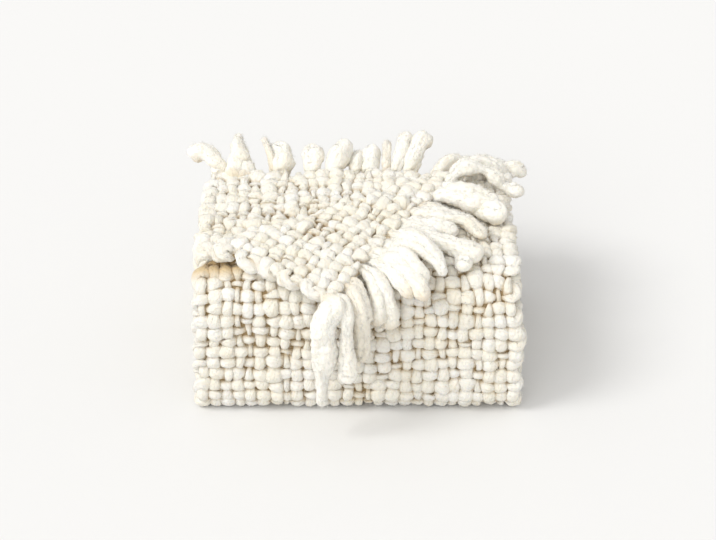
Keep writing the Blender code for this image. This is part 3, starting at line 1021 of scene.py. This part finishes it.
# For each shape of loop: the share of its way and how wide it is there, how far apart its two
# strands lie, as a share of its width, and how far one strand ends before the other.
SHAPES = {
    "tail": ((0.0, 0.10, 0.28, 0.58, 0.70, 0.80, 1.0), (0.50, 0.95, 1.20, 1.15, 0.90, 0.62, 0.55),
             0.16, 0.0),
    "peak": ((0.0, 0.25, 0.50, 0.75, 1.0), (1.15, 1.35, 1.15, 0.80, 0.45), 0.26, 0.0),
    "arch": ((0.0, 0.25, 0.50, 0.75, 1.0), (0.75, 0.95, 0.80, 1.00, 1.25), 0.22, 0.0),
    "puff": ((0.0, 0.25, 0.48, 0.70, 0.88, 1.0), (0.50, 0.75, 1.15, 1.35, 1.40, 1.10), 0.34, 0.0),
    "ball": ((0.0, 0.25, 0.60, 1.0), (0.55, 0.80, 1.30, 1.35), 0.22, 0.0),
    "club": ((0.0, 0.25, 0.50, 0.75, 1.0), (0.60, 1.00, 0.90, 1.20, 1.30), 0.26, 0.0),
    "finger": ((0.0, 0.20, 0.60, 1.0), (0.60, 0.95, 1.10, 1.05), 0.26, 0.0),
    "fan": ((0.0, 0.25, 0.50, 0.78, 1.0), (0.42, 0.70, 1.05, 1.38, 1.30), 0.40, 0.011),
    "bulb": ((0.0, 0.18, 0.45, 0.75, 1.0), (0.50, 0.85, 1.20, 1.30, 1.10), 0.30, 0.0),
    "point": ((0.0, 0.20, 0.45, 0.75, 1.0), (0.50, 1.05, 1.30, 0.95, 0.50), 0.34, 0.0),
    "knots": ((0.0, 0.15, 0.28, 0.42, 0.58, 0.72, 0.86, 1.0),
              (0.55, 1.20, 0.72, 1.30, 0.66, 1.30, 0.72, 1.25), 0.16, 0.0),
}


def add_loop(tubes, path, shape, radius):
    """A loop of roving: a strand that goes out, turns at the tip and comes back beside itself."""
    at, widths, apart_share, uneven = SHAPES[shape]
    centre = resampled(path, LOOP_STEP)
    beyond = radius * widths[-1] * (0.55 if uneven else 0.9)
    centre = centre[:len(centre) - int(beyond / LOOP_STEP)]
    tangent = unit(np.gradient(centre, axis=0))
    out = outward(centre)
    side = unit(np.cross(out, tangent))
    other = np.cross(tangent, side)
    share = np.linspace(0.0, 1.0, len(centre))
    width = radius * curve(np.array(at), np.array(widths), share)
    spin = rng.uniform(-0.3, 0.3) + rng.uniform(-0.5, 0.5) * share
    apart = unit(np.cos(spin)[:, None] * side + np.sin(spin)[:, None] * other)
    gap = width * apart_share
    lines = []
    for way in (1, -1):
        wave = 1 + 0.10 * np.sin(share * rng.uniform(8, 14) + rng.uniform(0, 6))
        wobble = 0.10 * radius * np.sin(share * rng.uniform(7, 12) + rng.uniform(0, 6))
        strand = centre + way * apart * gap[:, None] + other * wobble[:, None]
        lines.append((strand, (width - gap) * wave * (1.04 if way > 0 else 0.94)))
    if uneven:
        cut = max(1, int(uneven / LOOP_STEP))
        lines[1] = (lines[1][0][:-cut], lines[1][1][:-cut])
        for strand, thick in lines:
            add_strand(tubes, strand, thick, pointed=True)
        return
    arc = np.linspace(0, math.pi, 7)[1:-1]
    half = gap[-1]
    tip = (centre[-1] + half * (np.cos(arc)[:, None] * apart[-1]
                                + 0.9 * np.sin(arc)[:, None] * tangent[-1]))
    line = np.concatenate([lines[0][0], tip, lines[1][0][::-1]])
    ends = np.linspace(lines[0][1][-1], lines[1][1][-1], len(tip))
    thick = np.concatenate([lines[0][1], ends, lines[1][1][::-1]])
    # finger loops carry painted shade all along
    add_strand(tubes, line, thick, low=0.30 if shape == "finger" else 0.0)


def add_strand(tubes, line, thick, pointed=False, low=0.0):
    """A strand of the fringe, with fluffy lumps; low is how much painted shade it has all along.
    """
    sides = LOOP_SIDES
    tangent, side = carried_frame(line)
    other = np.cross(tangent, side)
    angle = np.arange(sides) * 2 * math.pi / sides
    travelled = distances(line)
    s = travelled[:, None]
    phase = rng.random(6) * 2 * math.pi
    bumpy = (1 + 0.07 * np.sin(2 * angle[None, :] + phase[0] + 50 * s)
             + 0.06 * np.sin(3 * angle[None, :] + phase[1] - 70 * s)
             + 0.05 * np.sin(5 * angle[None, :] + phase[4] + 40 * s)
             + 0.05 * np.sin(phase[2] + 240 * s + angle[None, :])
             + 0.04 * np.sin(phase[5] + 520 * s - 2 * angle[None, :]))
    end = np.minimum(travelled, travelled[-1] - travelled)
    closed = rounded(end)
    if pointed:
        far = np.clip((travelled[-1] - travelled) / (thick[-1] * 1.2), 0, 1)
        closed = np.minimum(closed, np.sqrt(np.clip(1 - (1 - far) ** 2, 0.02, 1)))
    r = (thick * closed)[:, None] * bumpy
    points = (line[:, None, :] + (r * np.cos(angle))[..., None] * side[:, None, :]
              + (r * np.sin(angle))[..., None] * other[:, None, :])
    fibre = fibres(angle[None, :] + phase[3] + 24 * s, 24, s, sides)
    # painted shade: darker near the loop's root and on the side turned in towards the folded
    # stack
    root = np.clip(1 - end / 0.026, 0.0, 1.0)
    facing = np.einsum("ijk,ik->ij", unit(points - line[:, None, :]), outward(line))
    depth = low + 0.60 * root[:, None] + 0.60 * np.clip(-facing, 0.0, 1.0)
    tubes.add(points.reshape(-1, 3), sides, depth.ravel(), fibre.reshape(-1, 3), rng.random(),
              inward=False)


def make_fringe(name, rows, end_along):
    """A comb of loops along one end of the cloth."""
    tubes = Tubes()
    for row in rows:
        x = np.array([-HALF + row[1]])
        inner = np.clip(x, -HALF + 0.006, HALF - 0.006)
        beyond = FRINGE_GAP + HEADING
        if end_along == 0.0:
            root = cloth(x, np.array([-beyond]))[0]
            inside = cloth(inner, np.array([0.012]))[0]
        else:
            root = slump(x, np.array([BACK + beyond]), np.array([TOP - PITCH]))[0]
            inside = cloth(inner, np.array([TOTAL - 0.012]))[0]
        path = [np.array(inside)] + [np.array(p) for p in loop_path(Vector(root), row)]
        add_loop(tubes, np.array(path) + SHIFT, row[0], row[6])
    return tubes.make(name, WOOL_FRINGE)


# ---------------------------------------------------------------- everything
sheet = make_sheet()
wrap_warp, wrap_weft, wrap_last = make_wrap()
second_warp, second_weft, second_first = make_second()
hidden_warp, hidden_weft = make_hidden(wrap_last + 1, second_first)
front_fringe = make_fringe("front_fringe", FRONT_LOOPS, 0.0)
back_fringe = make_fringe("back_fringe", BACK_LOOPS, TOTAL)

cloth_bloom = make_bloom("cloth_bloom", [(wrap_warp, HIGH[0]), (wrap_weft, HIGH[0]),
                                         (second_warp, HIGH[0]), (second_weft, HIGH[0])],
                         *CLOTH_FIBRES, BLOOM)
fringe_bloom = make_bloom("fringe_bloom", [(front_fringe, LOOP_SIDES),
                                           (back_fringe, LOOP_SIDES)],
                          *FRINGE_FIBRES, BLOOM)

yarns = [wrap_warp, wrap_weft, second_warp, second_weft, hidden_warp, hidden_weft, cloth_bloom]
for piece in [sheet] + yarns:
    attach(piece, "root")
for piece in (front_fringe, back_fringe, fringe_bloom):
    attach(piece, "root")
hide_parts("blanket")
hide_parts("fringe_front")
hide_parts("fringe_back")

# ---------------------------------------------------------------- floor, light and camera
MIDDLE = (CAD_LOW + CAD_HIGH) / 2
FLOOR = 44.0              # side of the floor, which ends out of sight


def make_floor():
    bpy.ops.mesh.primitive_plane_add(size=FLOOR, location=(MIDDLE.x, MIDDLE.y, 0.0))
    floor = bpy.context.object
    floor.name = "floor"
    material = bpy.data.materials.new("pale_floor")
    tree, shader = nodes_of(material)
    place = tree.nodes.new("ShaderNodeTexCoord").outputs["Object"]
    patch = noise(tree, place, 3.0, 2.0)
    colour = blended(tree, patch, (0.766, 0.767, 0.766, 1.0), (0.773, 0.774, 0.773, 1.0))
    link(tree, colour, shader.inputs["Base Color"])
    shader.inputs["Roughness"].default_value = 0.9
    shader.inputs["Specular IOR Level"].default_value = 0.1
    floor.data.materials.append(material)


def sun_light(name, way, width, strength, colour):
    """A large soft lamp far off, the same over the whole floor; way points to it."""
    data = bpy.data.lights.new(name, "SUN")
    data.angle = math.radians(width)
    data.energy = strength
    data.color = colour
    put(name, data).rotation_euler = (-way).to_track_quat("-Z", "Y").to_euler()


make_floor()
CENTRE = Vector((float(SHIFT[0]), float(SHIFT[1]), 0.10))
sun_light("key", Vector((-1.0, -0.45, 1.20)), 26.0, 1.50, (1.0, 0.99, 0.97))
sun_light("fill", Vector((-0.35, -1.0, 0.7)), 40.0, 0.86, (1.0, 0.99, 0.97))
world = bpy.data.worlds.new("studio")
world.use_nodes = True
world.node_tree.nodes["Background"].inputs["Color"].default_value = (1.0, 0.99, 0.975, 1.0)
world.node_tree.nodes["Background"].inputs["Strength"].default_value = 0.74
bpy.context.scene.world = world
bpy.context.scene.view_settings.view_transform = "Standard"

ELEVATION = math.radians(31.0)
DISTANCE = 3.0
LENS = 113.0
AIM_UP = 0.0174           # how far above the centre the camera aims
camera_data = bpy.data.cameras.new("camera")
camera_data.lens = LENS
camera_data.sensor_width = 36.0
camera_data.clip_end = 50.0
camera = put("camera", camera_data)
camera.location = CENTRE + Vector((0.0, -math.cos(ELEVATION), math.sin(ELEVATION))) * DISTANCE
aim = CENTRE + Vector((0.0, math.sin(ELEVATION), math.cos(ELEVATION))) * AIM_UP
camera.rotation_euler = (aim - camera.location).to_track_quat("-Z", "Y").to_euler()
bpy.context.scene.camera = camera
